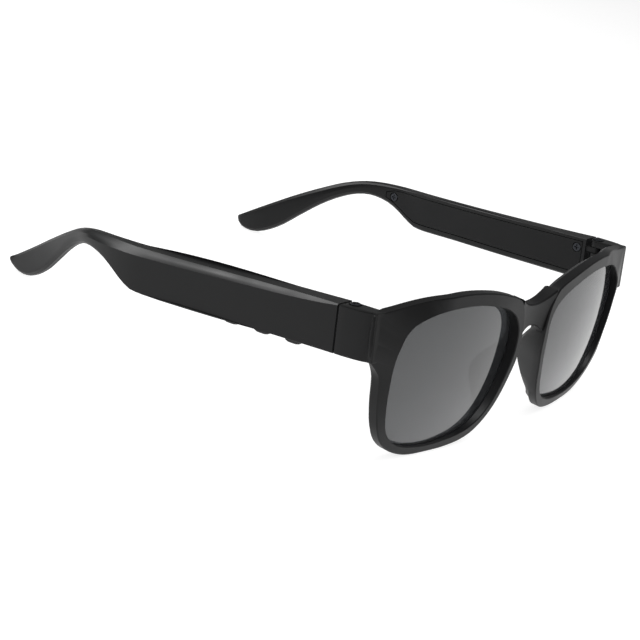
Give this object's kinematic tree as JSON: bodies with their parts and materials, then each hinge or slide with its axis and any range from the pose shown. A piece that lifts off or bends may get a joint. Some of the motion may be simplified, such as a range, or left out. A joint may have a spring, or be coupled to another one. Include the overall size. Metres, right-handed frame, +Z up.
{
  "type": "smart glasses",
  "caption": "Audio sunglasses with a thick moulded wraparound front, tinted lenses and folding temples that hold the electronics, with keys under one temple.",
  "frame": {"origin": "centre of the bounding box's base, on the surface the open glasses stand on", "axes": "+Z up, the front faces -Y and the temples run back along +Y, the wearer's left is +X"},
  "size_m": [0.1528, 0.1604, 0.0497],
  "materials": {
    "satin_black_plastic": "satin moulded black nylon",
    "cover_plastic": "fine matt moulded black",
    "key_plastic": "matt moulded black",
    "smoked_lens": "polished grey sun lens",
    "black_steel": "black oxide steel",
    "circuit_board": "solder-masked board",
    "chip_resin": "moulded resin",
    "cell_foil": "laminated foil",
    "speaker_can": "pressed can",
    "magnet_nickel": "nickel plated",
    "contact_gold": "gold plated",
    "grille_mesh": "fine acoustic mesh",
    "light_pipe": "translucent polycarbonate"
  },
  "bodies": {
    "front": {"front_frame": "satin_black_plastic", "lens_left": "smoked_lens", "hinge_screw_left": "black_steel", "lens_right": "smoked_lens", "hinge_screw_right": "black_steel"},
    "temple_left": {"temple_shell_left": "satin_black_plastic", "temple_cover_left": "cover_plastic", "cover_screw_front_left": "black_steel", "cover_screw_rear_left": "black_steel", "circuit_board_left": "circuit_board", "processor_left": "chip_resin", "microphone_left": "chip_resin", "battery_left": "cell_foil", "speaker_left": "speaker_can", "magnet_left": "magnet_nickel", "charge_contact_a_left": "contact_gold", "charge_contact_b_left": "contact_gold", "sound_grille_left": "grille_mesh"},
    "temple_right": {"temple_shell_right": "satin_black_plastic", "temple_cover_right": "cover_plastic", "cover_screw_front_right": "black_steel", "cover_screw_rear_right": "black_steel", "circuit_board_right": "circuit_board", "processor_right": "chip_resin", "microphone_right": "chip_resin", "battery_right": "cell_foil", "speaker_right": "speaker_can", "magnet_right": "magnet_nickel", "charge_contact_a_right": "contact_gold", "charge_contact_b_right": "contact_gold", "sound_grille_right": "grille_mesh", "volume_up_switch": "chip_resin", "play_switch": "chip_resin", "volume_down_switch": "chip_resin", "switch_board": "circuit_board", "status_light": "light_pipe"},
    "volume_up_button": {"volume_up_key": "key_plastic"},
    "play_button": {"play_key": "key_plastic"},
    "volume_down_button": {"volume_down_key": "key_plastic"}
  },
  "joints": [
    {"name": "fold_right", "type": "hinge", "parent": "front", "child": "temple_right", "pos_m": [-0.0678, -0.05981, 0.045], "axis": [0, -0.1219, -0.9925], "range_deg": [0, 86.5]},
    {"name": "fold_left", "type": "hinge", "parent": "front", "child": "temple_left", "pos_m": [0.0678, -0.05981, 0.045], "axis": [0, 0.1219, 0.9925], "range_deg": [0, 66]},
    {"name": "volume_up_press", "type": "slide", "parent": "temple_right", "child": "volume_up_button", "axis": [0, 0.1219, 0.9925], "range_m": [0, 0.0004], "stiffness_N_per_m": 1500, "springref_m": -0.0001},
    {"name": "play_press", "type": "slide", "parent": "temple_right", "child": "play_button", "axis": [0, 0.1219, 0.9925], "range_m": [0, 0.0004], "stiffness_N_per_m": 1500, "springref_m": -0.0001},
    {"name": "volume_down_press", "type": "slide", "parent": "temple_right", "child": "volume_down_button", "axis": [0, 0.1219, 0.9925], "range_m": [0, 0.0004], "stiffness_N_per_m": 1500, "springref_m": -0.0001}
  ]
}
